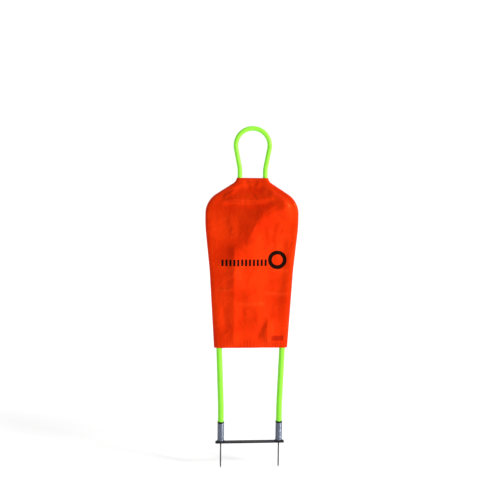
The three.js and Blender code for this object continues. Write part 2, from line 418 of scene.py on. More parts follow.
@dataclass(frozen=True)
class MouldedPlastic:
    """Matt black moulded plastic with a fine spark texture."""

    name: str = "moulded_plastic"
    colour: Colour = dye("#1b1b1e")
    dusty: Colour = dye("#38383c")
    roughness: float = 0.52

    def build(self) -> bpy.types.Material:
        """Makes the material.

        Returns:
            The material.
        """
        shading = Shading(self.name)
        spark = shading.cloud(2600, 2)
        dust = shading.cloud(90, 4).step(0.5, 0.8)
        return shading.finish(
            {
                "Base Color": shading.blend(0.6 * dust, self.colour, self.dusty),
                "Specular IOR Level": 0.2,
                "Roughness": self.roughness + 0.1 * spark + 0.15 * dust,
                "Normal": shading.bump(spark, 0.00005),
            }
        )


@dataclass(frozen=True)
class ChestPrint:
    """Plain shapes printed on the front: a row of bars, a ring beside it and a patch above the hem."""

    bars: int = 12
    first_bar: float = -0.170
    pitch: float = 0.0214
    bar_width: float = 0.012
    bar_height: float = 0.036
    row_height: float = 1.014
    ring_centre: Point = (0.140, 1.030)
    ring_outer: float = 0.051
    ring_inner: float = 0.030
    patch_centre: Point = (0.146, 0.597)
    patch_half: Point = (0.034, 0.014)

    def black(self, shading: Shading) -> Value:
        """Where the black ink is.

        Args:
            shading: The cloth's shading.

        Returns:
            1 on the ink, 0 off it.
        """
        along = (shading.x - self.first_bar) / self.pitch
        cell = along.math("FLOOR")
        across = (along - cell - 0.5).math("ABSOLUTE").within(self.bar_width / self.pitch / 2)
        up = (shading.z - self.row_height).math("ABSOLUTE").within(self.bar_height / 2)
        inside = (cell - (self.bars - 1) / 2).math("ABSOLUTE").within(self.bars / 2)
        dx = shading.x - self.ring_centre[0]
        dz = shading.z - self.ring_centre[1]
        radius = (dx * dx + dz * dz).math("SQRT")
        ring = radius.within(self.ring_outer) * (1 - radius.within(self.ring_inner))
        return (across * up * inside).math("MAXIMUM", ring)

    def patch(self, shading: Shading) -> Value:
        """Where the small dark patch is.

        Args:
            shading: The cloth's shading.

        Returns:
            1 on the patch, 0 off it.
        """
        across = (shading.x - self.patch_centre[0]).math("ABSOLUTE").within(self.patch_half[0])
        up = (shading.z - self.patch_centre[1]).math("ABSOLUTE").within(self.patch_half[1])
        return across * up


@dataclass(frozen=True)
class Drape:
    """The broad hang of the front panel, which turns away from a ridge on either side.

    The ridge climbs straight from the hem, leans across the waist and runs out to a shoulder.
    """

    foot: float = -0.120
    waist: float = 0.92
    waist_lean: float = 0.5
    chest: float = 1.25
    chest_lean: float = 1.6
    left_slope: float = 0.140
    right_slope: float = 0.070
    right_edge: float = 0.130
    soft: float = 0.045

    def height(self, shading: Shading) -> Value:
        """How far out the panel seems to stand, in metres.

        Args:
            shading: The cloth's shading.

        Returns:
            The relief, in metres.
        """
        waist = (shading.z - self.waist).math("SMOOTH_MAX", 0.0, self.soft)
        chest = (shading.z - self.chest).math("SMOOTH_MAX", 0.0, self.soft)
        across = shading.x - self.foot - self.waist_lean * waist - self.chest_lean * chest
        left = (0.0 - across).math("SMOOTH_MAX", 0.0, self.soft)
        right = across.math("SMOOTH_MAX", 0.0, self.soft)
        beyond = (shading.x - self.right_edge).math("SMOOTH_MAX", 0.0, self.soft)
        return self.right_slope * (beyond - right) - self.left_slope * left


@dataclass(frozen=True)
class SatinNylon:
    """Thin woven nylon with a soft sheen, a crumple and paler pressed creases."""

    name: str
    ink: ChestPrint | None = None
    drape: Drape | None = None
    colour: Colour = (0.780, 0.0330, 0.0022)
    shade: Colour = (0.640, 0.0200, 0.0010)
    pressed: Colour = (0.860, 0.0600, 0.0070)
    lustre: Colour = (1.0, 0.25, 0.06)
    black: Colour = (0.003, 0.002, 0.002)
    dark_red: Colour = (0.400, 0.0080, 0.0020)
    thread: float = 0.0005
    weave_depth: float = 0.00003
    cell: float = 0.075
    crumple_depth: float = 0.0013
    fine_depth: float = 0.0004
    crease_share: float = 0.45
    patch_share: float = 0.75
    roughness: float = 0.36

    def build(self) -> bpy.types.Material:
        """Makes the material.

        Returns:
            The material.
        """
        shading = Shading(self.name)
        warp = (shading.x * (2 * math.pi / self.thread)).math("SINE")
        weft = (shading.z * (2 * math.pi / self.thread)).math("SINE")
        weave = 0.5 + 0.5 * warp * weft
        kept = shading.cloud(5, 2).step(0.45, 0.65)
        crumple = shading.cracks(1 / self.cell, 0.09).step(0.0, 0.20) * kept
        fine = shading.cracks(2.1 / self.cell, 0.06).step(0.0, 0.30) * (1 - kept)
        base = shading.blend(shading.cloud(7, 3).step(0.35, 0.7), self.colour, self.shade)
        base = shading.blend(self.crease_share * shading.attribute("crease"), base, self.pressed)
        roughness = self.roughness + 0.05 * weave + 0.06 * shading.cloud(30)
        if self.ink is not None:
            ink = self.ink.black(shading)
            base = shading.blend(self.patch_share * self.ink.patch(shading), base, self.dark_red)
            base = shading.blend(ink, base, self.black)
            roughness = roughness + 0.1 * ink
        relief = shading.bump(crumple, self.crumple_depth, shading.bump(fine, self.fine_depth))
        if self.drape is not None:
            relief = shading.bump(self.drape.height(shading), 1.0, relief)
        return shading.finish(
            {
                "Base Color": base,
                "Roughness": roughness,
                "Normal": shading.bump(weave, self.weave_depth, relief),
                "Specular Tint": self.lustre,
                "Specular IOR Level": 0.2,
                "Metallic": 0.3,
                "Sheen Weight": 0.06,
                "Sheen Roughness": 0.4,
                "Sheen Tint": self.lustre,
            }
        )


@dataclass(frozen=True)
class SewingThread:
    """Twisted polyester thread in the cover's colour."""

    name: str = "sewing_thread"
    colour: Colour = dye("#c92c0a")
    bright: Colour = dye("#ee5a30")

    def build(self) -> bpy.types.Material:
        """Makes the material.

        Returns:
            The material.
        """
        shading = Shading(self.name)
        twist = ((shading.x + shading.z) * 9000).math("SINE") * 0.5 + 0.5
        return shading.finish(
            {
                "Base Color": shading.blend(0.5 * twist, self.colour, self.bright),
                "Roughness": 0.55 + 0.1 * twist,
                "Normal": shading.bump(twist, 0.00004),
            }
        )


@dataclass(frozen=True)
class StudioPaper:
    """The pale floor, which is lit a little from beneath."""

    name: str = "studio_paper"
    glow: float = 0.82
    near: Colour = (0.70, 0.70, 0.70)
    far: Colour = (1.0, 1.0, 1.0)
    colour: Colour = (0.45, 0.45, 0.45)

    def build(self) -> bpy.types.Material:
        """Makes the material.

        Returns:
            The material.
        """
        shading = Shading(self.name)
        distance = (shading.x * shading.x + shading.y * shading.y).math("SQRT")
        values = {
            "Base Color": self.colour,
            "Roughness": 0.8 + 0.1 * shading.cloud(400, 3),
            "Emission Color": shading.blend(distance.step(0.8, 4.0), self.near, self.far),
            "Emission Strength": self.glow,
        }
        return shading.finish(values)


class Finishes:
    """Every material of the mannequin, each made once."""

    def __init__(self) -> None:
        """Makes the materials."""
        self.tube = FluorescentTube().build()
        self.paint = PowderCoat().build()
        self.spring = DrawnSteel("spring_wire", dye("#8890a1"), dye("#4a4e5a"), 0.3).build()
        self.spike = DrawnSteel("spike_rod", dye("#5d5a5c"), dye("#3b3633"), 0.42, 0.52).build()
        self.zinc = DrawnSteel("zinc_plate", dye("#c6c9ce"), dye("#8f939b"), 0.32, lines=(1, 1, 1)).build()
        self.plastic = MouldedPlastic().build()
        self.printed = SatinNylon("satin_nylon_printed", ChestPrint(), Drape()).build()
        self.plain = SatinNylon("satin_nylon_plain").build()
        self.thread = SewingThread().build()


# -------- making pieces


class Side(Enum):
    """Which foot a piece belongs to."""

    LEFT = -1
    RIGHT = 1

    @property
    def word(self) -> str:
        """The side's name in node names."""
        return self.name.lower()


@dataclass(frozen=True)
class Belonging:
    """Where a piece belongs: its body, its slot in the record, and the CAD nodes that it stands for."""

    body: str
    slot: str
    nodes: tuple[str, ...] = ()


def centre_of(node: str) -> Vector:
    """The middle of a CAD node's box."""
    low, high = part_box(node)
    return (low + high) / 2


def half_depth(node: str) -> float:
    """Half of a CAD node's size from front to back, which is a round one's radius."""
    low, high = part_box(node)
    return (high.y - low.y) / 2


def bevel(
    bm: bmesh.types.BMesh, parts: list, width: float, segments: int, affect: str = "EDGES", clamp: bool = False
) -> None:
    """Bevels some edges, or the corners of a flat plan.

    Args:
        bm: The mesh.
        parts: The edges or corners.
        width: How far the bevel reaches, in metres.
        segments: Faces across it.
        affect: EDGES or VERTICES.
        clamp: Whether it stops where it would run into another bevel.
    """
    bmesh.ops.bevel(
        bm,
        geom=parts,
        offset=width,
        offset_type="OFFSET",
        affect=affect,
        segments=segments,
        profile=0.5,
        material=-1,
        clamp_overlap=clamp,
    )


def soften(bm: bmesh.types.BMesh, width: float, segments: int = 2, sharp: float = 35) -> None:
    """Rounds a mesh's sharp edges.

    Args:
        bm: The mesh.
        width: How far the rounding reaches from an edge.
        segments: Faces across it.
        sharp: The least angle of an edge that is rounded, in degrees.
    """
    limit = math.radians(sharp)
    edges = [e for e in bm.edges if len(e.link_faces) == 2 and e.calc_face_angle() > limit]
    bevel(bm, edges, width, segments, clamp=True)


def close_up(bm: bmesh.types.BMesh, gap: float = 1e-6) -> None:
    """Merges doubled points and turns every face outwards.

    Args:
        bm: The mesh.
        gap: How near two points are to be merged, in metres.
    """
    bmesh.ops.remove_doubles(bm, verts=bm.verts, dist=gap)
    bmesh.ops.dissolve_degenerate(bm, edges=bm.edges, dist=gap)
    bmesh.ops.recalc_face_normals(bm, faces=bm.faces)


def make_object(bm: bmesh.types.BMesh, name: str, material: bpy.types.Material) -> bpy.types.Object:
    """Turns a finished bmesh into an object at the origin.

    Args:
        bm: The mesh, which is freed.
        name: The piece's name.
        material: Its finish.

    Returns:
        The object.
    """
    mesh = bpy.data.meshes.new(name)
    bm.to_mesh(mesh)
    bm.free()
    mesh.materials.append(material)
    mesh.shade_smooth()
    mesh.set_sharp_from_angle(angle=math.radians(38))
    piece = bpy.data.objects.new(name, mesh)
    bpy.context.scene.collection.objects.link(piece)
    return piece


def settle(piece: bpy.types.Object, belonging: Belonging) -> bpy.types.Object:
    """Ties a piece to its body, hides the CAD nodes that it stands for, and reports it.

    Args:
        piece: The piece.
        belonging: Where it belongs.

    Returns:
        The piece.
    """
    if "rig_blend" not in piece:
        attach(piece, belonging.body)
    if belonging.nodes:
        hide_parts(*belonging.nodes)
    LOG.info("%s: %d faces", piece.name, len(piece.data.polygons))
    return piece


def turned(profile: Sequence[Point], axis: Vector, steps: int = 64) -> bmesh.types.BMesh:
    """Turns a profile about an upright axis, as a lathe does.

    Args:
        profile: Radius and height of each corner. An open one starts and ends on the axis.
        axis: A point on the axis; its height is added.
        steps: Facets round it.

    Returns:
        A closed mesh.
    """
    bm = bmesh.new()
    corners = [bm.verts.new((r, 0, z)) for r, z in profile]
    pairs = list(zip(corners, corners[1:]))
    if min(profile[0][0], profile[-1][0]) > 0:
        pairs.append((corners[-1], corners[0]))
    for pair in pairs:
        bm.edges.new(pair)
    geometry = [*bm.verts, *bm.edges]
    bmesh.ops.spin(
        bm, geom=geometry, cent=(0, 0, 0), axis=(0, 0, 1), angle=2 * math.pi, steps=steps, use_merge=True
    )
    close_up(bm)
    bmesh.ops.translate(bm, vec=axis, verts=bm.verts)
    return bm


# -------- tube work


@dataclass(frozen=True)
class Corner:
    """A corner of a bent tube's centreline in the upright plane, and the radius that it is bent to."""

    x: float
    z: float
    bend: float = 0.0

    @property
    def at(self) -> Vector:
        """The corner as a point."""
        return Vector((self.x, 0, self.z))


@dataclass(frozen=True)
class Move:
    """One move of a tube bender: a straight run, then a bend.

    A positive angle turns left as seen from the front.
    """

    run: float
    radius: float = 0.0
    angle: float = 0.0


def moves_through(corners: Sequence[Corner]) -> list[Move]:
    """Works out the bender's moves along a line of corners.

    Args:
        corners: The corners, from one open end to the other.

    Returns:
        A move for each corner between the ends, and one for the last run.
    """
    moves = []
    spare = 0.0
    for before, here, after in zip(corners, corners[1:], corners[2:]):
        back = before.at - here.at
        ahead = after.at - here.at
        turn = math.pi - back.angle(ahead)
        reach = here.bend * math.tan(turn / 2)
        left = math.copysign(1, back.cross(ahead).y)
        moves.append(Move(back.length - spare - reach, here.bend, left * turn))
        spare = reach
    last = corners[-1].at - corners[-2].at
    return [*moves, Move(last.length - spare)]


class TubeBender:
    """Draws a round tube out of its first ring, by straight runs and bends in the upright plane."""

    def __init__(self, start: Vector, heading: Vector, radii: Sequence[float], sides: int = 40) -> None:
        """Makes the first rings.

        Args:
            start: The middle of the tube's first end.
            heading: The way that it leaves.
            radii: The outer radius and the bore.
            sides: Facets round the tube.
        """
        self.bm = bmesh.new()
        self.place = start.copy()
        self.heading = heading.normalized()
        turn = self.heading.to_track_quat("Z", "Y").to_matrix().to_4x4()
        for radius in radii:
            bmesh.ops.create_circle(
                self.bm, radius=radius, segments=sides, matrix=Matrix.Translation(start) @ turn
            )
        self.first = list(self.bm.edges)
        self.front = list(self.bm.edges)

    def run(self, length: float) -> None:
        """Draws a straight run of a length, in metres.

        Args:
            length: How far, in metres.
        """
        drawn = bmesh.ops.extrude_edge_only(self.bm, edges=self.front)["geom"]
        points = [part for part in drawn if isinstance(part, bmesh.types.BMVert)]
        bmesh.ops.translate(self.bm, vec=self.heading * length, verts=points)
        self.front = self._open_rings(points)
        self.place = self.place + self.heading * length

    def bend(self, radius: float, angle: float, step: float = math.radians(2.5)) -> None:
        """Draws a bend.

        Args:
            radius: Of the centreline.
            angle: How far it turns, positive to the left as seen from the front.
            step: The most that one facet turns.
        """
        axis = Vector((0, -math.copysign(1, angle), 0))
        centre = self.place + axis.cross(self.heading) * radius
        steps = max(4, math.ceil(abs(angle) / step))
        points = list({point for edge in self.front for point in edge.verts})
        spun = bmesh.ops.spin(
            self.bm, geom=[*points, *self.front], cent=centre, axis=axis, angle=abs(angle), steps=steps
        )
        last = [part for part in spun["geom_last"] if isinstance(part, bmesh.types.BMVert)]
        self.front = self._open_rings(last)
        turn = Matrix.Rotation(abs(angle), 4, axis)
        self.place = centre + turn @ (self.place - centre)
        self.heading = turn @ self.heading

    @staticmethod
    def _open_rings(points: Iterable[bmesh.types.BMVert]) -> list[bmesh.types.BMEdge]:
        """The edges that join the given points to one another.

        Args:
            points: The points of the newest rings.

        Returns:
            The edges.
        """
        members = set(points)
        edges = {edge for point in members for edge in point.link_edges}
        return [edge for edge in edges if set(edge.verts) <= members]

    def follow(self, moves: Iterable[Move]) -> "TubeBender":
        """Draws the tube through a list of moves and returns the bender.

        Args:
            moves: The moves, in order.

        Returns:
            This bender.
        """
        for move in moves:
            if move.run > 1e-6:
                self.run(move.run)
            if move.radius > 0:
                self.bend(move.radius, move.angle)
        return self

    def finish(self) -> bmesh.types.BMesh:
        """Joins bore to outside at both ends and returns the closed mesh.

        Returns:
            The closed mesh.
        """
        bmesh.ops.bridge_loops(self.bm, edges=self.first)
        bmesh.ops.bridge_loops(self.bm, edges=self.front)
        close_up(self.bm)
        return self.bm


@dataclass(frozen=True)
class TubeFrame:
    """The two legs, their bushes and the bent hoop, with the hoop's route from the record's frame."""

    head_radius: float = 0.091
    throat_angle: float = math.radians(11)
    throat_bend: float = 0.160
    neck_half: float = 0.0683
    neck_bend: float = 0.058
    neck_drop: float = 0.198
    shoulder_drop: float = 0.1085
    shoulder_bend: float = 0.112
    side_drop: float = 0.127
    side_bend: float = 0.700
    flare_rise: float = 0.045
    flare_bend: float = 0.400
    leg_top: float = 0.700
    leg_foot: float = 0.090
    leg_bend: float = 0.900
    leg_lean: float = math.radians(2)
    hoop_wall: float = 0.002
    leg_wall: float = 0.0018
    hoop_insert: float = 0.055
    bush_gap: float = 0.0003
    bush_collar: float = 0.008

    @property
    def hoop_radius(self) -> float:
        """The hoop tube's outer radius."""
        return half_depth("hoop_tube")

    @property
    def leg_radius(self) -> float:
        """A leg tube's outer radius."""
        return half_depth("leg_tube_right")

    @property
    def leg_half(self) -> float:
        """From the middle to a leg's upright foot."""
        return centre_of("spring_right").x

    @property
    def leg_start(self) -> float:
        """The height of a leg's lower end."""
        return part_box("leg_tube_right")[0].z

    @property
    def head_height(self) -> float:
        """The height of the head arc's centre."""
        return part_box("hoop_tube")[1].z - self.hoop_radius - self.head_radius

    @property
    def neck_height(self) -> float:
        """The height of the corner between neck and shoulder."""
        return self.head_height - self.neck_drop

    @property
    def shoulder_half(self) -> float:
        """From the middle to the hoop's upright sides."""
        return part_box("hoop_tube")[1].x - self.hoop_radius

    def leg_x(self, height: float) -> float:
        """How far out a leg's centreline is at a height."""
        rise = max(0.0, height - self.leg_start - self.leg_foot)
        return self.leg_half + rise * math.tan(self.leg_lean)

    def hoop_corners(self) -> list[Corner]:
        """The corners of the hoop's right side, from inside the leg to the start of the head arc.

        Returns:
            The corners, from the lowest up.
        """
        end = self.leg_top - self.hoop_insert
        flare = self.leg_top + self.flare_rise
        shoulder = self.neck_height - self.shoulder_drop
        arm_x = self.head_radius * math.cos(self.throat_angle)
        arm_z = self.head_height - self.head_radius * math.sin(self.throat_angle)
        throat = arm_z - (arm_x - self.neck_half) / math.tan(self.throat_angle)
        return [
            Corner(self.leg_x(end), end),
            Corner(self.leg_x(flare), flare, self.flare_bend),
            Corner(self.shoulder_half, shoulder - self.side_drop, self.side_bend),
            Corner(self.shoulder_half, shoulder, self.shoulder_bend),
            Corner(self.neck_half, self.neck_height, self.neck_bend),
            Corner(self.neck_half, throat, self.throat_bend),
            Corner(arm_x, arm_z),
        ]

    def leg_corners(self, side: Side) -> list[Corner]:
        """The corners of one leg's centreline, from its foot to its top.

        Args:
            side: Which leg or foot it is.

        Returns:
            The corners, from the foot up.
        """
        return [
            Corner(side.value * self.leg_half, self.leg_start),
            Corner(side.value * self.leg_half, self.leg_start + self.leg_foot, self.leg_bend),
            Corner(side.value * self.leg_x(self.leg_top), self.leg_top),
        ]

    def make_hoop(self, finishes: Finishes) -> bpy.types.Object:
        """Bends the hoop: up the right side, round the head, and the same moves back down the left.

        Args:
            finishes: Every material.

        Returns:
            The piece.
        """
        corners = self.hoop_corners()
        right = moves_through(corners)
        runs = [move.run for move in right]
        bends = right[:-1]
        down = [Move(run, move.radius, move.angle) for run, move in zip(runs[:0:-1], bends[::-1])]
        head = Move(right[-1].run, self.head_radius, math.pi + 2 * self.throat_angle)
        radii = (self.hoop_radius, self.hoop_radius - self.hoop_wall)
        bender = TubeBender(corners[0].at, corners[1].at - corners[0].at, radii)
        bm = bender.follow([*bends, head, *down, Move(runs[0])]).finish()
        piece = make_object(bm, "hoop", finishes.tube)
        return settle(piece, Belonging("frame", "green_tube", ("hoop_tube",)))

    def make_leg(self, side: Side, finishes: Finishes) -> bpy.types.Object:
        """Bends one leg tube.

        Args:
            side: Which leg or foot it is.
            finishes: Every material.

        Returns:
            The piece.
        """
        corners = self.leg_corners(side)
        radii = (self.leg_radius, self.leg_radius - self.leg_wall)
        bender = TubeBender(corners[0].at, corners[1].at - corners[0].at, radii, 48)
        piece = make_object(bender.follow(moves_through(corners)).finish(), f"leg_{side.word}", finishes.tube)
        return settle(piece, Belonging("frame", "green_tube", (f"leg_tube_{side.word}",)))

    def make_bush(self, side: Side, finishes: Finishes) -> bpy.types.Object:
        """Turns the bush that steps a leg down to the hoop.

        Args:
            side: Which leg or foot it is.
            finishes: Every material.

        Returns:
            The piece.
        """
        bore = self.hoop_radius + self.bush_gap
        sleeve = self.leg_radius - self.leg_wall - self.bush_gap
        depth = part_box(f"tube_reducer_{side.word}")[0].z - self.leg_top
        seat = self.bush_gap
        top = self.bush_gap + self.bush_collar
        profile = [
            (bore, depth + 0.001),
            (sleeve, depth + 0.001),
            (sleeve, seat),
            (self.leg_radius, seat),
            (self.leg_radius, top),
            (bore, top),
        ]
        bm = turned(profile, Vector())
        soften(bm, 0.0006)
        lean = Matrix.Rotation(side.value * self.leg_lean, 4, "Y")
        place = Matrix.Translation((side.value * self.leg_x(self.leg_top), 0, self.leg_top))
        bmesh.ops.transform(bm, matrix=place @ lean, verts=bm.verts)
        piece = make_object(bm, f"bush_{side.word}", finishes.plastic)
        return settle(piece, Belonging("frame", "black_plastic", (f"tube_reducer_{side.word}",)))

    def build(self, finishes: Finishes) -> None:
        """Makes the hoop, the legs and the bushes.

        Args:
            finishes: Every material.
        """
        self.make_hoop(finishes)
        for side in Side:
            self.make_leg(side, finishes)
            self.make_bush(side, finishes)


# -------- feet and bar


@dataclass(frozen=True)
class Turning:
    """A round piece of a foot: where it belongs, its section, and how it is turned and rounded."""

    name: str
    body: str
    material: bpy.types.Material
    slot: str
    section: tuple[Point, ...]
    rounding: float
    segments: int = 2
    steps: int = 64
    sharp: float = 35


@dataclass(frozen=True)
class SpringFoot:
    """One foot: spike, seat, plugs, fasteners, spring and ferrule."""

    side: Side
    wire: float = 0.0045
    turns: int = 21
    tip: float = 0.0012
    point: float = 0.012
    lip: float = 0.0035
    ferrule_floor: float = 0.003
    gap: float = 0.0003
    edge: float = 0.0006

    def node(self, name: str) -> str:
        """The name of this foot's CAD node of a kind."""
        return f"{name}_{self.side.word}"

    def axis(self) -> Vector:
        """The point on the ground that the foot stands over."""
        return Vector((centre_of(self.node("spring")).x, 0, 0))

    def radius(self, name: str) -> float:
        """The outer radius of a round CAD node of this foot."""
        low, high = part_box(self.node(name))
        return max(high.x - low.x, high.y - low.y) / 2

    def span(self, name: str) -> tuple[float, float]:
        """The lowest and highest point of a CAD node of this foot."""
        low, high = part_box(self.node(name))
        return low.z, high.z

    def place(
        self, bm: bmesh.types.BMesh, name: str, material: bpy.types.Material, body: str, slot: str
    ) -> bpy.types.Object:
        """Makes an object of a finished mesh that stands for the CAD node of the same name."""
        piece = make_object(bm, f"{name}_piece_{self.side.word}", material)
        return settle(piece, Belonging(body, slot, (self.node(name),)))

    def ring(self, name: str, hole: float) -> tuple[Point, ...]:
        """The section of a plain ring that fills a CAD node's box round a hole."""
        (low, high), radius = self.span(name), self.radius(name)
        return (hole, low), (radius, low), (radius, high), (hole, high)

    def turnings(self, finishes: Finishes) -> list[Turning]:
        """Draws the foot's round pieces, from the ground up.

        Args:
            finishes: Every material.

        Returns:
            The four below the nut, then the two above the spring.
        """
        low, high = self.span("ground_spike")
        radius = self.radius("ground_spike")
        hole = radius + self.gap
        spike = ((0, low), (self.tip / 2, low), (radius, low + self.point), (radius, high), (0, high))

        low, high = self.span("spring_seat")
        rim = self.radius("spring_seat")
        recess = self.radius("spring") + 2 * self.gap
        floor = high - self.lip
        seat = ((hole, low), (rim, low), (rim, high), (recess, high), (recess, floor), (hole, floor))

        low, high = self.span("upper_plug")
        neck = self.radius("lower_plug")
        spigot = self.radius("upper_plug")
        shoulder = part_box(self.node("leg_tube"))[0].z
        plug = ((0, low), (neck, low), (neck, shoulder), (spigot, shoulder), (spigot, high), (0, high))

        low, high = self.span("leg_ferrule")
        outer = self.radius("leg_ferrule")
        sleeve = neck + self.gap
        pocket = half_depth(self.node("leg_tube")) + self.gap
        floor = low + self.ferrule_floor
        cup = ((sleeve, low), (outer, low), (outer, high), (pocket, high), (pocket, floor), (sleeve, floor))

        washer = self.ring("spike_washer", hole)
        plastic = (finishes.plastic, "black_plastic")
        return [
            Turning("ground_spike", "base", finishes.spike, "spike_steel", spike, 0.0003, 2, 32, 20),
            Turning("spring_seat", "base", *plastic, seat, self.edge, 3),
            Turning("lower_plug", "base", *plastic, self.ring("lower_plug", hole), 0.0012),
            Turning("spike_washer", "base", finishes.zinc, "zinc_steel", washer, 0.0002, 2, 48),
            Turning("upper_plug", "frame", *plastic, plug, 0.0004),
            Turning("leg_ferrule", "frame", *plastic, cup, self.edge, 3),
        ]

    def turn(self, turning: Turning) -> None:
        """Turns a round piece, rounds its edges and puts it in place.

        Args:
            turning: What to turn, and how.
        """
        bm = turned(turning.section, self.axis(), turning.steps)
        soften(bm, turning.rounding, turning.segments, turning.sharp)
        self.place(bm, turning.name, turning.material, turning.body, turning.slot)

    def make_nut(self, finishes: Finishes) -> None:
        """Makes the hexagon nut, with its corners chamfered.

        Args:
            finishes: Every material.
        """
        hole = self.radius("ground_spike") + self.gap
        bm = turned(self.ring("spike_nut", hole), Vector(), 6)
        hexagon = [edge for edge in bm.edges if min(v.co.xy.length for v in edge.verts) > hole * 1.2]
        rims = [edge for edge in hexagon if abs(edge.verts[0].co.z - edge.verts[1].co.z) < 1e-6]
        bevel(bm, rims, self.edge, 1)
        bmesh.ops.translate(bm, vec=self.axis(), verts=bm.verts)
        self.place(bm, "spike_nut", finishes.zinc, "base", "zinc_steel")

    def coil(self, first: float, last: float, steps_a_turn: int = 36) -> bmesh.types.BMesh:
        """Winds a stretch of the spring.

        Args:
            first: The turn that it starts at.
            last: The turn that it ends at.
            steps_a_turn: Facets in a turn.

        Returns:
            The closed mesh of that stretch of wire.
        """
        low, high = self.span("spring")
        pitch = (high - low - self.wire) / self.turns
        radius = self.radius("spring") - self.wire / 2
        steps = round((last - first) * steps_a_turn)
        start = Matrix.Rotation(2 * math.pi * first, 4, "Z")
        lift = Matrix.Translation((radius, 0, low + self.wire / 2 + pitch * first))
        stand = Matrix.Rotation(math.pi / 2, 4, "X")
        bm = bmesh.new()
        bmesh.ops.create_circle(bm, radius=self.wire / 2, segments=14, matrix=start @ lift @ stand)
        ring = [*bm.verts, *bm.edges]
        first_ring = list(bm.edges)
        spun = bmesh.ops.spin(
            bm,
            geom=ring,
            cent=(0, 0, 0),
            axis=(0, 0, 1),
            dvec=(0, 0, pitch / steps_a_turn),
            angle=2 * math.pi * steps / steps_a_turn,
            steps=steps,
        )
        last_ring = [part for part in spun["geom_last"] if isinstance(part, bmesh.types.BMEdge)]
        bmesh.ops.edgeloop_fill(bm, edges=first_ring)
        bmesh.ops.edgeloop_fill(bm, edges=last_ring)
        bmesh.ops.recalc_face_normals(bm, faces=bm.faces)
        bmesh.ops.translate(bm, vec=self.axis(), verts=bm.verts)
        return bm

    def make_spring(self, finishes: Finishes) -> None:
        """Winds the spring in two stretches, and bends each across its own joint.

        Args:
            finishes: Every material.
        """
        middle = self.turns / 2
        plug_top = self.span("lower_plug")[1]
        plug_foot = self.span("upper_plug")[0]
        waist = (plug_top + plug_foot) / 2
        stretches = {
            "lower": (0.0, middle, "base", "springs", plug_top, waist),
            "upper": (middle, float(self.turns), "springs", "frame", waist, plug_foot),
        }
        for word, (first, last, below, above, start, end) in stretches.items():
            name = f"spring_{word}_{self.side.word}"
            piece = make_object(self.coil(first, last), name, finishes.spring)
            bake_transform(piece, below, above, start=(0, 0, start), end=(0, 0, end))
            settle(piece, Belonging("springs", "spring_steel", (self.node("spring"),)))

    def build(self, finishes: Finishes) -> None:
        """Makes the foot's pieces from the ground up.

        Args:
            finishes: Every material.
        """
        *below, plug, ferrule = self.turnings(finishes)
        for turning in below:
            self.turn(turning)
        self.make_nut(finishes)
        self.make_spring(finishes)
        self.turn(plug)
        self.turn(ferrule)


@dataclass(frozen=True)
class BaseBar:
    """The flat steel bar that joins the feet."""

    corner: float = 0.007
    edge: float = 0.0006
    gap: float = 0.0003

    def build(self, finishes: Finishes) -> None:
        """Cuts the bar from its plan, with a round hole over each spike.

        Args:
            finishes: Every material.
        """
        low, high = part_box("base_bar")
        bm = bmesh.new()
        size = high - low
        plate = Matrix.Translation((0, 0, low.z)) @ Matrix.Diagonal((size.x, size.y, 1, 1))
        bmesh.ops.create_grid(bm, x_segments=1, y_segments=1, size=0.5, matrix=plate)
        bevel(bm, bm.verts[:], self.corner, 10, "VERTICES")
        bmesh.ops.delete(bm, geom=bm.faces[:], context="FACES_ONLY")
        for side in Side:
            spike = f"ground_spike_{side.word}"
            place = Matrix.Translation((centre_of(spike).x, 0, low.z))
            hole = half_depth(spike) + self.gap
            bmesh.ops.create_circle(bm, radius=hole, segments=40, matrix=place)
        bmesh.ops.triangle_fill(bm, edges=bm.edges[:], use_beauty=True, use_dissolve=False)
        lifted = bmesh.ops.extrude_face_region(bm, geom=bm.faces[:])["geom"]
        points = [part for part in lifted if isinstance(part, bmesh.types.BMVert)]
        bmesh.ops.translate(bm, vec=(0, 0, size.z), verts=points)
        close_up(bm)
        soften(bm, self.edge, 2, 60)
        piece = make_object(bm, "bar", finishes.paint)
        settle(piece, Belonging("base", "bar_paint", ("base_bar",)))


# -------- cover


def smooth(share: np.ndarray) -> np.ndarray:
    """Eases shares from 0 to 1, and holds them there outside that range."""
    held = np.clip(share, 0, 1)
    return held * held * (3 - 2 * held)


class FoldShape(Enum):
    """How a fold stands out of the cloth."""

    ROLL = "roll"
    CREASE = "crease"
    SHELF = "shelf"


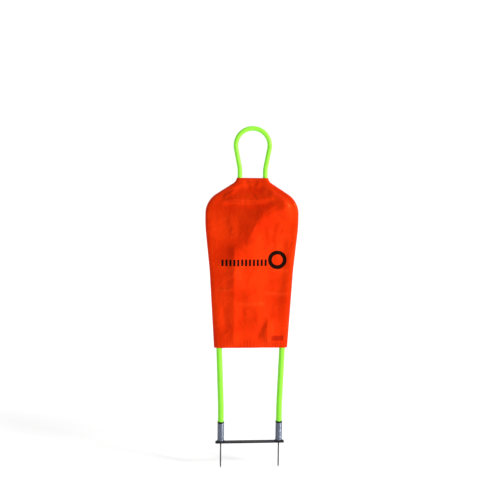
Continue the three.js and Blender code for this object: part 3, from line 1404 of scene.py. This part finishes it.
@dataclass(frozen=True)
class Fold:
    """A line of relief on a panel.

    The path is in metres across and up the mannequin. A negative height sinks. A shelf's face falls away
    over its width to the right of its path, as one walks along it, and its back eases down to the left.
    """

    path: tuple[Point, ...]
    height: float
    width: float
    shape: FoldShape = FoldShape.ROLL
    fade: float = 0.05
    back: float = 0.08

    def relief(self, x: np.ndarray, z: np.ndarray) -> np.ndarray:
        """How far the fold stands out at each point.

        Args:
            x: Distance across, in metres.
            z: Height, in metres.

        Returns:
            The relief, in metres.
        """
        nearest = np.full(x.shape, np.inf)
        side = np.zeros(x.shape)
        along = np.zeros(x.shape)
        total = sum(math.dist(a, b) for a, b in zip(self.path, self.path[1:]))
        done = 0.0
        for (ax, az), (bx, bz) in zip(self.path, self.path[1:]):
            length = math.dist((ax, az), (bx, bz))
            ux, uz = (bx - ax) / length, (bz - az) / length
            t = np.clip((x - ax) * ux + (z - az) * uz, 0, length)
            gap = np.hypot(x - ax - t * ux, z - az - t * uz)
            closer = gap < nearest
            nearest = np.where(closer, gap, nearest)
            side = np.where(closer, np.sign(ux * (z - az) - uz * (x - ax)), side)
            along = np.where(closer, done + t, along)
            done += length
        ends = smooth(np.minimum(along, total - along) / self.fade)
        return self.height * ends * self.profile(nearest, side)

    def profile(self, gap: np.ndarray, side: np.ndarray) -> np.ndarray:
        """The fold's section, from 0 to 1, over the distance from its line.

        Args:
            gap: Distance from the line, in metres.
            side: Above 0 to the left of the line.

        Returns:
            The share of its full height.
        """
        if self.shape is FoldShape.CREASE:
            return np.exp(-gap / self.width)
        if self.shape is FoldShape.SHELF:
            slope = np.where(side > 0, gap / self.back, gap / self.width)
            return 0.5 * np.clip(1 - slope, 0, 1) + 0.5 * np.exp(-2.2 * slope**1.5)
        return np.exp(-((gap / self.width) ** 2))


@dataclass(frozen=True)
class CoverOutline:
    """The cover's edge as seen from the front, from the tubes inside it."""

    tubes: TubeFrame
    ease: float = 0.003
    waist_ease: float = 0.007
    hem_ease: float = 0.012
    waist_drop: float = 0.366
    waist_bend: float = 0.900

    @property
    def hem(self) -> float:
        """The height of the cover's lower edge."""
        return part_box("cover_front_panel")[0].z

    @property
    def neck(self) -> float:
        """The height of the cover's upper edge."""
        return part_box("cover_front_panel")[1].z

    def tube_x(self, height: np.ndarray) -> np.ndarray:
        """How far out the tube's centreline is at each height.

        Args:
            height: Height, in metres.

        Returns:
            Distance out from the middle, in metres.
        """
        legs = [(self.tubes.leg_x(z), z) for z in (self.hem, self.tubes.leg_top)]
        hoop = self.rounded(self.tubes.hoop_corners())
        above = hoop[hoop[:, 1] > self.tubes.leg_top]
        line = np.vstack([legs, above[np.argsort(above[:, 1], kind="stable")]])
        return np.interp(height, line[:, 1], line[:, 0])

    def corners(self) -> list[Corner]:
        """The corners of the cover's right edge, from hem to neck.

        Returns:
            The corners, from the hem up.
        """
        tubes = self.tubes
        margin = tubes.hoop_radius + self.ease
        inner = tubes.hoop_corners()
        side, shoulder, neck = (corner.at for corner in inner[2:5])
        slope = (shoulder - neck).normalized()
        half = slope.angle(Vector((0, 0, -1))) / 2
        waist_z = shoulder.z - self.waist_drop
        flare = inner[1].at
        share = (waist_z - flare.z) / (side.z - flare.z)
        waist_x = flare.x + share * (side.x - flare.x) + tubes.hoop_radius + self.waist_ease
        hem_x = tubes.leg_x(self.hem) + tubes.leg_radius + self.hem_ease
        rise = margin * math.tan(half)
        return [
            Corner(hem_x, self.hem),
            Corner(waist_x, waist_z, self.waist_bend),
            Corner(side.x + margin, side.z, tubes.side_bend + margin),
            Corner(shoulder.x + margin, shoulder.z + rise, tubes.shoulder_bend + margin),
            Corner(neck.x + margin, neck.z + rise, tubes.neck_bend - margin),
            Corner(neck.x + margin, self.neck + 0.05),
        ]

    @staticmethod
    def rounded(corners: Sequence[Corner], step: float = math.radians(1)) -> np.ndarray:
        """Points along a line of rounded corners.

        Args:
            corners: The corners.
            step: The most that the line turns from point to point.

        Returns:
            Rows of distance out and height.
        """
        heading = (corners[1].at - corners[0].at).normalized()
        place = corners[0].at
        points = [place]
        for move in moves_through(corners):
            place = place + heading * move.run
            points.append(place)
            if move.radius == 0:
                continue
            axis = Vector((0, -math.copysign(1, move.angle), 0))
            centre = place + axis.cross(heading) * move.radius
            steps = max(2, math.ceil(abs(move.angle) / step))
            turn = Matrix.Rotation(abs(move.angle) / steps, 3, axis)
            for _ in range(steps):
                place = centre + turn @ (place - centre)
                heading = turn @ heading
                points.append(place)
        return np.array([(p.x, p.z) for p in points])

    def half_width(self, height: np.ndarray) -> np.ndarray:
        """Half of the cover's width at each height."""
        line = self.rounded(self.corners())
        return np.interp(height, line[:, 1], line[:, 0])


@dataclass(frozen=True)
class CoverPanel:
    """One panel of the cover: a flat cut that curls round the tubes to the side seams, with its folds."""

    name: str
    node: str
    facing: int
    outline: CoverOutline
    folds: tuple[Fold, ...]
    seed: float
    columns: int = 150
    rows: int = 250
    edge_share: float = 0.12
    skin: float = 0.0007
    slack: float = 0.0010
    step_length: float = 0.12
    loose_from: float = 0.004
    loose_over: float = 0.045
    allowance: float = 0.015
    hem_depth: float = 0.020
    hem_relief: float = 0.0007
    pucker: float = 0.0008
    pucker_pitch: float = 0.017
    ripple: float = 0.0027
    wrinkle: float = 0.0011
    pinch_count: int = 70
    pinch_zones: tuple[Point, ...] = (
        (-0.03, 1.160),
        (0.0, 1.400),
        (0.12, 1.090),
        (-0.02, 0.930),
        (0.13, 0.650),
        (-0.15, 0.700),
    )

    def depth(self, height: np.ndarray) -> np.ndarray:
        """How far the cloth stands from the middle plane over the tubes.

        Args:
            height: Height, in metres.

        Returns:
            The distance, in metres.
        """
        tubes = self.outline.tubes
        rise = smooth((height - tubes.leg_top - tubes.bush_collar) / self.step_length)
        radius = tubes.leg_radius + (tubes.hoop_radius - tubes.leg_radius) * rise
        return radius + self.slack

    def shape(self, across: np.ndarray, up: np.ndarray) -> tuple[np.ndarray, np.ndarray, np.ndarray]:
        """Lays the flat cut over the tubes.

        Args:
            across: From -1 at the left seam to 1 at the right.
            up: From -1 at the hem to 1 at the neck.

        Returns:
            The three coordinates of each point, before its folds.
        """
        outline = self.outline
        z = outline.hem + (up + 1) / 2 * (outline.neck - outline.hem)
        half = outline.half_width(z)
        centre = outline.tube_x(z)
        flat = 1 - self.edge_share
        reach = np.abs(across)
        curl = np.clip((reach - flat) / self.edge_share, 0, 1) * math.pi / 2
        x = np.where(reach < flat, centre * reach / flat, centre + (half - centre) * np.sin(curl))
        y = self.facing * self.depth(z) * np.where(reach < flat, 1.0, np.cos(curl))
        return np.sign(across) * x, y, z

    def free(self, x: np.ndarray, z: np.ndarray) -> np.ndarray:
        """How freely the cloth can move off the tubes' plane: 0 on a tube or seam, 1 between them."""
        inside = self.outline.tube_x(z) - np.abs(x)
        return smooth((inside + self.loose_from) / self.loose_over)

    def build(self, material: bpy.types.Material) -> bpy.types.Object:
        """Cuts, lays and folds the panel.

        Args:
            material: Its finish.

        Returns:
            The panel.
        """
        bm = bmesh.new()
        bmesh.ops.create_grid(bm, x_segments=self.columns, y_segments=self.rows, size=1)
        flat = np.array([vert.co for vert in bm.verts])
        x, y, z = self.shape(flat[:, 0], flat[:, 1])
        free = self.free(x, z)
        relief = sum((fold.relief(x, z) for fold in [*self.folds, *self.pinches()]), np.zeros(len(x)))
        creases = [fold for fold in self.folds if fold.shape is FoldShape.CREASE]
        pressed = sum((np.abs(fold.relief(x, z)) / abs(fold.height) for fold in creases), np.zeros(len(x)))
        loose = relief * free + self.crumple(x, z) * (0.25 + 0.75 * free)
        out = loose + self.hem_line(z) + self.puckers(x, z)
        curled = np.clip(1 - np.abs(flat[:, 0]), 0, 0.03) / 0.03
        y = y + self.facing * out * curled
        for vert, place in zip(bm.verts, np.stack([x, y, z], axis=1)):
            vert.co = place
        if self.facing > 0:
            bmesh.ops.reverse_faces(bm, faces=bm.faces)
        bmesh.ops.smooth_vert(bm, verts=bm.verts, factor=0.3, use_axis_y=True)
        piece = make_object(bm, self.name, material)
        attribute = piece.data.attributes.new("crease", "FLOAT", "POINT")
        attribute.data.foreach_set("value", np.clip(pressed, 0, 1).astype(np.float32))
        self.thicken(piece)
        width = 2 * float(np.max(self.outline.half_width(z)))
        length = float(z.max() - z.min())
        self.area()
        return settle(piece, Belonging("frame", "orange_fabric", (self.node,)))

    def area(self) -> float:
        """The flat cut's area, in square metres.

        Returns:
            The area, in square metres.
        """
        heights = np.linspace(self.outline.hem, self.outline.neck, 200)
        halves = self.outline.half_width(heights)
        return float((halves[1:] + halves[:-1]).sum() * (heights[1] - heights[0]))

    def pinches(self) -> list[Fold]:
        """Short creases that handling leaves, thickest round the chest, the neck and the hem.

        Returns:
            The creases.
        """
        random = np.random.default_rng(int(self.seed * 10))
        made = []
        for _ in range(self.pinch_count):
            zone = self.pinch_zones[int(random.integers(len(self.pinch_zones)))]
            x = random.normal(zone[0], 0.055)
            z = random.normal(zone[1], 0.045)
            lean = random.uniform(0, math.pi)
            reach = random.uniform(0.012, 0.034)
            across, up = reach * math.cos(lean), reach * math.sin(lean)
            height = random.choice((-1, 1)) * random.uniform(0.0010, 0.0026)
            path = ((x - across, z - up), (x + across * 0.1, z + up * 0.3), (x + across, z + up))
            made.append(Fold(path, height, 0.005, FoldShape.CREASE, reach * 0.8))
        return made

    def crumple(self, x: np.ndarray, z: np.ndarray) -> np.ndarray:
        """Small unevenness all over the cloth.

        Args:
            x: Distance across, in metres.
            z: Height, in metres.

        Returns:
            The relief, in metres.
        """
        rough = [noise.noise(Vector((a * 9, b * 6, self.seed))) for a, b in zip(x, z)]
        fine = [noise.noise(Vector((a * 26, b * 17, self.seed + 4))) for a, b in zip(x, z)]
        return self.ripple * np.array(rough) + self.wrinkle * np.array(fine)

    def hem_line(self, z: np.ndarray) -> np.ndarray:
        """The doubled cloth of the hems at both open ends.

        Args:
            z: Height, in metres.

        Returns:
            The relief, in metres.
        """
        low = np.clip((self.outline.hem + self.hem_depth - z) / 0.002, 0, 1)
        high = np.clip((z - self.outline.neck + self.hem_depth * 0.7) / 0.002, 0, 1)
        return self.hem_relief * (low + high)

    def puckers(self, x: np.ndarray, z: np.ndarray) -> np.ndarray:
        """Small gathers that the hem's stitches pull.

        Args:
            x: Distance across, in metres.
            z: Height, in metres.

        Returns:
            The relief, in metres.
        """
        near = np.exp(-(((z - self.outline.hem - self.hem_depth) / 0.014) ** 2))
        wave = np.sin(2 * math.pi * x / self.pucker_pitch + 2 * np.sin(x * 31 + self.seed))
        return self.pucker * near * wave

    def thicken(self, piece: bpy.types.Object) -> None:
        """Gives the sheet its thickness, inwards.

        Args:
            piece: The panel.
        """
        solidify = piece.modifiers.new("skin", "SOLIDIFY")
        solidify.thickness = self.skin
        solidify.offset = -1.0


@dataclass(frozen=True)
class HemStitches:
    """A row of stitches along a panel's hem."""

    panel: CoverPanel
    inset: float
    from_hem: bool
    pitch: float = 0.0042
    length: float = 0.0030
    radius: float = 0.00035

    def build(self, finishes: Finishes) -> bpy.types.Object:
        """Lays the stitches on the panel's surface.

        Args:
            finishes: Every material.

        Returns:
            The piece.
        """
        outline = self.panel.outline
        height = outline.hem + self.inset if self.from_hem else outline.neck - self.inset
        span = float(outline.tube_x(np.array([height]))[0])
        surface = self.surface_at(height)
        bm = bmesh.new()
        count = int(2 * span / self.pitch)
        for i in range(count):
            x = -span + (i + 0.5) * self.pitch
            y = float(np.interp(x, surface[:, 0], surface[:, 1]))
            place = Matrix.Translation((x, y + self.panel.facing * self.radius * 0.4, height))
            lie = place @ Matrix.Rotation(math.pi / 2, 4, "Y")
            shape = Matrix.Diagonal((self.radius, self.radius, self.length / 2, 1))
            bmesh.ops.create_icosphere(bm, subdivisions=1, radius=1, matrix=lie @ shape)
        where = "hem" if self.from_hem else "neck"
        piece = make_object(bm, f"stitches_{where}_{self.panel.name}", finishes.thread)
        return settle(piece, Belonging("frame", "orange_fabric"))

    def surface_at(self, height: float) -> np.ndarray:
        """The panel's surface along a level line, as rows of distance across and depth.

        Args:
            height: Height, in metres.

        Returns:
            The rows, from left to right.
        """
        mesh = bpy.data.objects[self.panel.name].data
        points = np.zeros(len(mesh.vertices) * 3)
        mesh.vertices.foreach_get("co", points)
        points = points.reshape(-1, 3)
        nearest = np.unique(points[:, 2])[np.argmin(np.abs(np.unique(points[:, 2]) - height))]
        row = points[np.abs(points[:, 2] - nearest) < 1e-5]
        return row[np.argsort(row[:, 0])][:, :2]


@dataclass(frozen=True)
class SeamWelt:
    """The corded seam that joins the panels down one side."""

    outline: CoverOutline
    side: Side
    radius: float = 0.0014
    core: float = 0.0005
    inset: float = 0.0006

    def build(self, finishes: Finishes) -> bpy.types.Object:
        """Runs the cord up the cover's edge and cuts it off level with the neck.

        Args:
            finishes: Every material.

        Returns:
            The piece.
        """
        way = self.side.value
        corners = [Corner(way * (c.x - self.inset), c.z, c.bend) for c in self.outline.corners()]
        heading = corners[1].at - corners[0].at
        bender = TubeBender(corners[0].at, heading, (self.radius, self.core), 12)
        bm = bender.follow(moves_through(corners)).finish()
        neck = (0, 0, self.outline.neck)
        whole = [*bm.verts, *bm.edges, *bm.faces]
        cut = bmesh.ops.bisect_plane(bm, geom=whole, plane_co=neck, plane_no=(0, 0, 1), clear_outer=True)
        ends = [part for part in cut["geom_cut"] if isinstance(part, bmesh.types.BMEdge)]
        bmesh.ops.bridge_loops(bm, edges=ends)
        close_up(bm)
        piece = make_object(bm, f"seam_welt_{self.side.word}", finishes.plain)
        return settle(piece, Belonging("frame", "orange_fabric"))


class Cover:
    """The cover: front and back panels, their stitching and the seams that join them."""

    front_folds = (
        Fold(
            ((-0.165, 1.360), (-0.040, 1.356), (0.060, 1.362), (0.150, 1.376)),
            0.0120,
            0.028,
            FoldShape.SHELF,
            0.06,
            0.055,
        ),
        Fold(((-0.130, 1.412), (0.0, 1.420), (0.070, 1.408)), -0.0080, 0.020, fade=0.04),
        Fold(((-0.170, 1.334), (0.020, 1.328), (0.120, 1.342)), -0.0080, 0.016, fade=0.05),
        Fold(
            ((0.225, 1.365), (0.140, 1.338), (0.058, 1.285), (0.005, 1.200), (-0.036, 1.095)),
            0.0195,
            0.105,
            FoldShape.SHELF,
            0.07,
            0.120,
        ),
        Fold(((0.190, 1.340), (0.060, 1.260), (-0.030, 1.060)), -0.0065, 0.140, fade=0.08),
        Fold(((-0.120, 1.380), (-0.150, 1.200), (-0.150, 1.020)), -0.0060, 0.070, fade=0.12),
        Fold(((0.150, 1.180), (0.135, 0.980), (0.120, 0.700)), -0.0100, 0.110, fade=0.16),
        Fold(((-0.130, 1.300), (-0.105, 1.210), (-0.110, 1.120)), 0.0060, 0.022, fade=0.08),
        Fold(((-0.097, 1.125), (-0.097, 0.845)), 0.0150, 0.040, FoldShape.SHELF, 0.05, 0.060),
        Fold(((-0.097, 0.890), (-0.097, 0.545)), 0.0080, 0.034, FoldShape.SHELF, 0.05, 0.050),
        Fold(((0.090, 0.730), (0.090, 0.550)), 0.0105, 0.032, FoldShape.SHELF, 0.05, 0.040),
        Fold(((0.090, 0.720), (0.020, 0.580)), -0.0095, 0.022, fade=0.05),
        Fold(((0.090, 0.976), (0.218, 0.972)), 0.0045, 0.007, FoldShape.CREASE, 0.03),
        Fold(((0.050, 0.846), (0.215, 0.842)), 0.0055, 0.007, FoldShape.CREASE, 0.03),
        Fold(((-0.210, 0.866), (-0.097, 0.866)), 0.0045, 0.007, FoldShape.CREASE, 0.03),
        Fold(((-0.090, 0.790), (0.080, 0.786)), 0.0028, 0.006, FoldShape.CREASE, 0.03),
        Fold(((0.150, 1.270), (0.128, 1.130), (0.150, 0.990)), 0.0045, 0.018, fade=0.09),
        Fold(((0.180, 1.190), (0.168, 1.080), (0.182, 0.980)), -0.0035, 0.018, fade=0.06),
        Fold(((0.085, 1.235), (0.096, 1.130), (0.080, 1.060)), 0.0035, 0.018, fade=0.05),
        Fold(((-0.060, 0.900), (0.030, 0.760), (0.050, 0.600)), 0.0070, 0.045, fade=0.1),
        Fold(((-0.170, 0.790), (-0.140, 0.620)), -0.0060, 0.026, fade=0.05),
        Fold(((-0.045, 1.468), (-0.010, 1.405)), -0.0035, 0.014, fade=0.02),
        Fold(((0.040, 1.465), (0.020, 1.400)), 0.0030, 0.013, fade=0.02),
        Fold(((0.085, 1.410), (0.165, 1.355)), 0.0055, 0.018, fade=0.03),
        Fold(((-0.080, 1.420), (-0.165, 1.365)), 0.0060, 0.014, fade=0.03),
    )
    back_folds = (
        Fold(((-0.150, 1.368), (0.0, 1.376), (0.130, 1.390)), 0.0080, 0.018, fade=0.06),
        Fold(
            ((-0.205, 1.345), (-0.110, 1.290), (-0.030, 1.180), (-0.010, 1.080)),
            0.0120,
            0.070,
            FoldShape.SHELF,
            0.08,
            0.100,
        ),
        Fold(((0.097, 1.300), (0.097, 0.560)), -0.0050, 0.012, FoldShape.CREASE, 0.08),
        Fold(((-0.090, 0.760), (-0.090, 0.550)), 0.0060, 0.030, FoldShape.SHELF, 0.05, 0.05),
        Fold(((-0.215, 0.974), (0.215, 0.970)), -0.0040, 0.008, FoldShape.CREASE, 0.04),
        Fold(((-0.205, 0.856), (0.205, 0.852)), 0.0042, 0.008, FoldShape.CREASE, 0.04),
        Fold(((0.030, 1.250), (0.070, 1.040), (0.020, 0.800)), 0.0070, 0.034, fade=0.1),
        Fold(((0.150, 1.210), (0.165, 1.060)), -0.0060, 0.018, fade=0.05),
        Fold(((-0.040, 1.465), (-0.015, 1.400)), 0.0060, 0.012, fade=0.02),
    )

    def __init__(self, tubes: TubeFrame) -> None:
        """Draws the cover over the tubes.

        Args:
            tubes: The tubes inside it.
        """
        outline = CoverOutline(tubes)
        self.front = CoverPanel("cover_front", "cover_front_panel", -1, outline, self.front_folds, 2.7)
        self.back = CoverPanel("cover_back", "cover_back_panel", 1, outline, self.back_folds, 8.1)

    def build(self, finishes: Finishes) -> None:
        """Makes the panels and stitches their hems.

        Args:
            finishes: Every material.
        """
        self.front.build(finishes.printed)
        self.back.build(finishes.plain)
        for panel in (self.front, self.back):
            HemStitches(panel, 0.018, True).build(finishes)
            HemStitches(panel, 0.012, False).build(finishes)
        for side in Side:
            SeamWelt(self.front.outline, side).build(finishes)


# -------- studio


@dataclass(frozen=True)
class Softbox:
    """A large soft light, aimed at a point."""

    name: str
    place: tuple[float, float, float]
    target: tuple[float, float, float]
    size: float
    power: float
    colour: Colour = (1.0, 1.0, 1.0)

    def build(self) -> None:
        """Hangs the light."""
        light = bpy.data.lights.new(self.name, "AREA")
        light.shape = "DISK"
        light.size = self.size
        light.energy = self.power
        light.color = self.colour
        lamp = bpy.data.objects.new(self.name, light)
        lamp.location = self.place
        aim = Vector(self.target) - Vector(self.place)
        lamp.rotation_euler = aim.to_track_quat("-Z", "Y").to_euler()
        bpy.context.scene.collection.objects.link(lamp)


@dataclass(frozen=True)
class Studio:
    """A white studio: floor, soft light and the camera."""

    distance: float = 3.762
    camera_height: float = 1.473
    look_down: float = math.radians(5.92)
    swing: float = math.radians(4.2)
    look_left: float = math.radians(0.145)
    roll: float = math.radians(0.62)
    lens: float = 50.0
    floor_size: float = 60.0
    front_light: float = 0.45
    back_light: float = 1.02
    light_rise: tuple[float, float] = (-0.1, 0.85)
    key: Softbox = Softbox("key", (4.3, -2.3, 2.9), (0, 0, 1.0), 1.2, 355)

    def lay_floor(self) -> None:
        """Lays the floor at the spikes' tips."""
        bm = bmesh.new()
        level = Matrix.Translation((0, 0, CAD_BOX[0].z))
        bmesh.ops.create_grid(bm, x_segments=1, y_segments=1, size=self.floor_size / 2, matrix=level)
        make_object(bm, "floor", StudioPaper().build())

    def place_camera(self) -> None:
        """Sets up the camera, a little to the left and high."""
        camera = bpy.data.cameras.new("camera")
        camera.lens = self.lens
        camera.sensor_width = 36.0
        holder = bpy.data.objects.new("camera", camera)
        bpy.context.scene.collection.objects.link(holder)
        stand = Vector((-math.sin(self.swing), -math.cos(self.swing), 0)) * self.distance
        stand.z = self.camera_height
        aim = Matrix.Rotation(self.look_left - self.swing, 4, "Z")
        tilt = Matrix.Rotation(math.pi / 2 - self.look_down, 4, "X") @ Matrix.Rotation(self.roll, 4, "Z")
        holder.matrix_world = Matrix.Translation(stand) @ aim @ tilt
        bpy.context.scene.camera = holder

    def light(self) -> None:
        """Fills the studio with soft white light, brightest behind the mannequin, and adds the key light."""
        world = bpy.data.worlds.new("studio")
        world.use_nodes = True
        tree = NodeTree(world.node_tree, "Generated")
        strength = self.front_light + (self.back_light - self.front_light) * tree.y.step(*self.light_rise)
        background = tree.node("ShaderNodeBackground", None, {"Color": (1, 1, 1), "Strength": strength})
        tree.node("ShaderNodeOutputWorld", None, {"Surface": background.outputs[0]})
        bpy.context.scene.world = world
        self.key.build()

    def build(self) -> None:
        """Makes the camera, floor and lights."""
        self.place_camera()
        self.lay_floor()
        self.light()
        bpy.context.scene.view_settings.view_transform = "Standard"


def main() -> None:
    """Builds the studio and the mannequin, from the ground up."""
    logging.basicConfig(level=logging.INFO, format="%(name)s: %(message)s")
    Studio().build()
    finishes = Finishes()
    BaseBar().build(finishes)
    for side in Side:
        SpringFoot(side).build(finishes)
    tubes = TubeFrame()
    tubes.build(finishes)
    Cover(tubes).build(finishes)


if __name__ == "__main__":
    main()
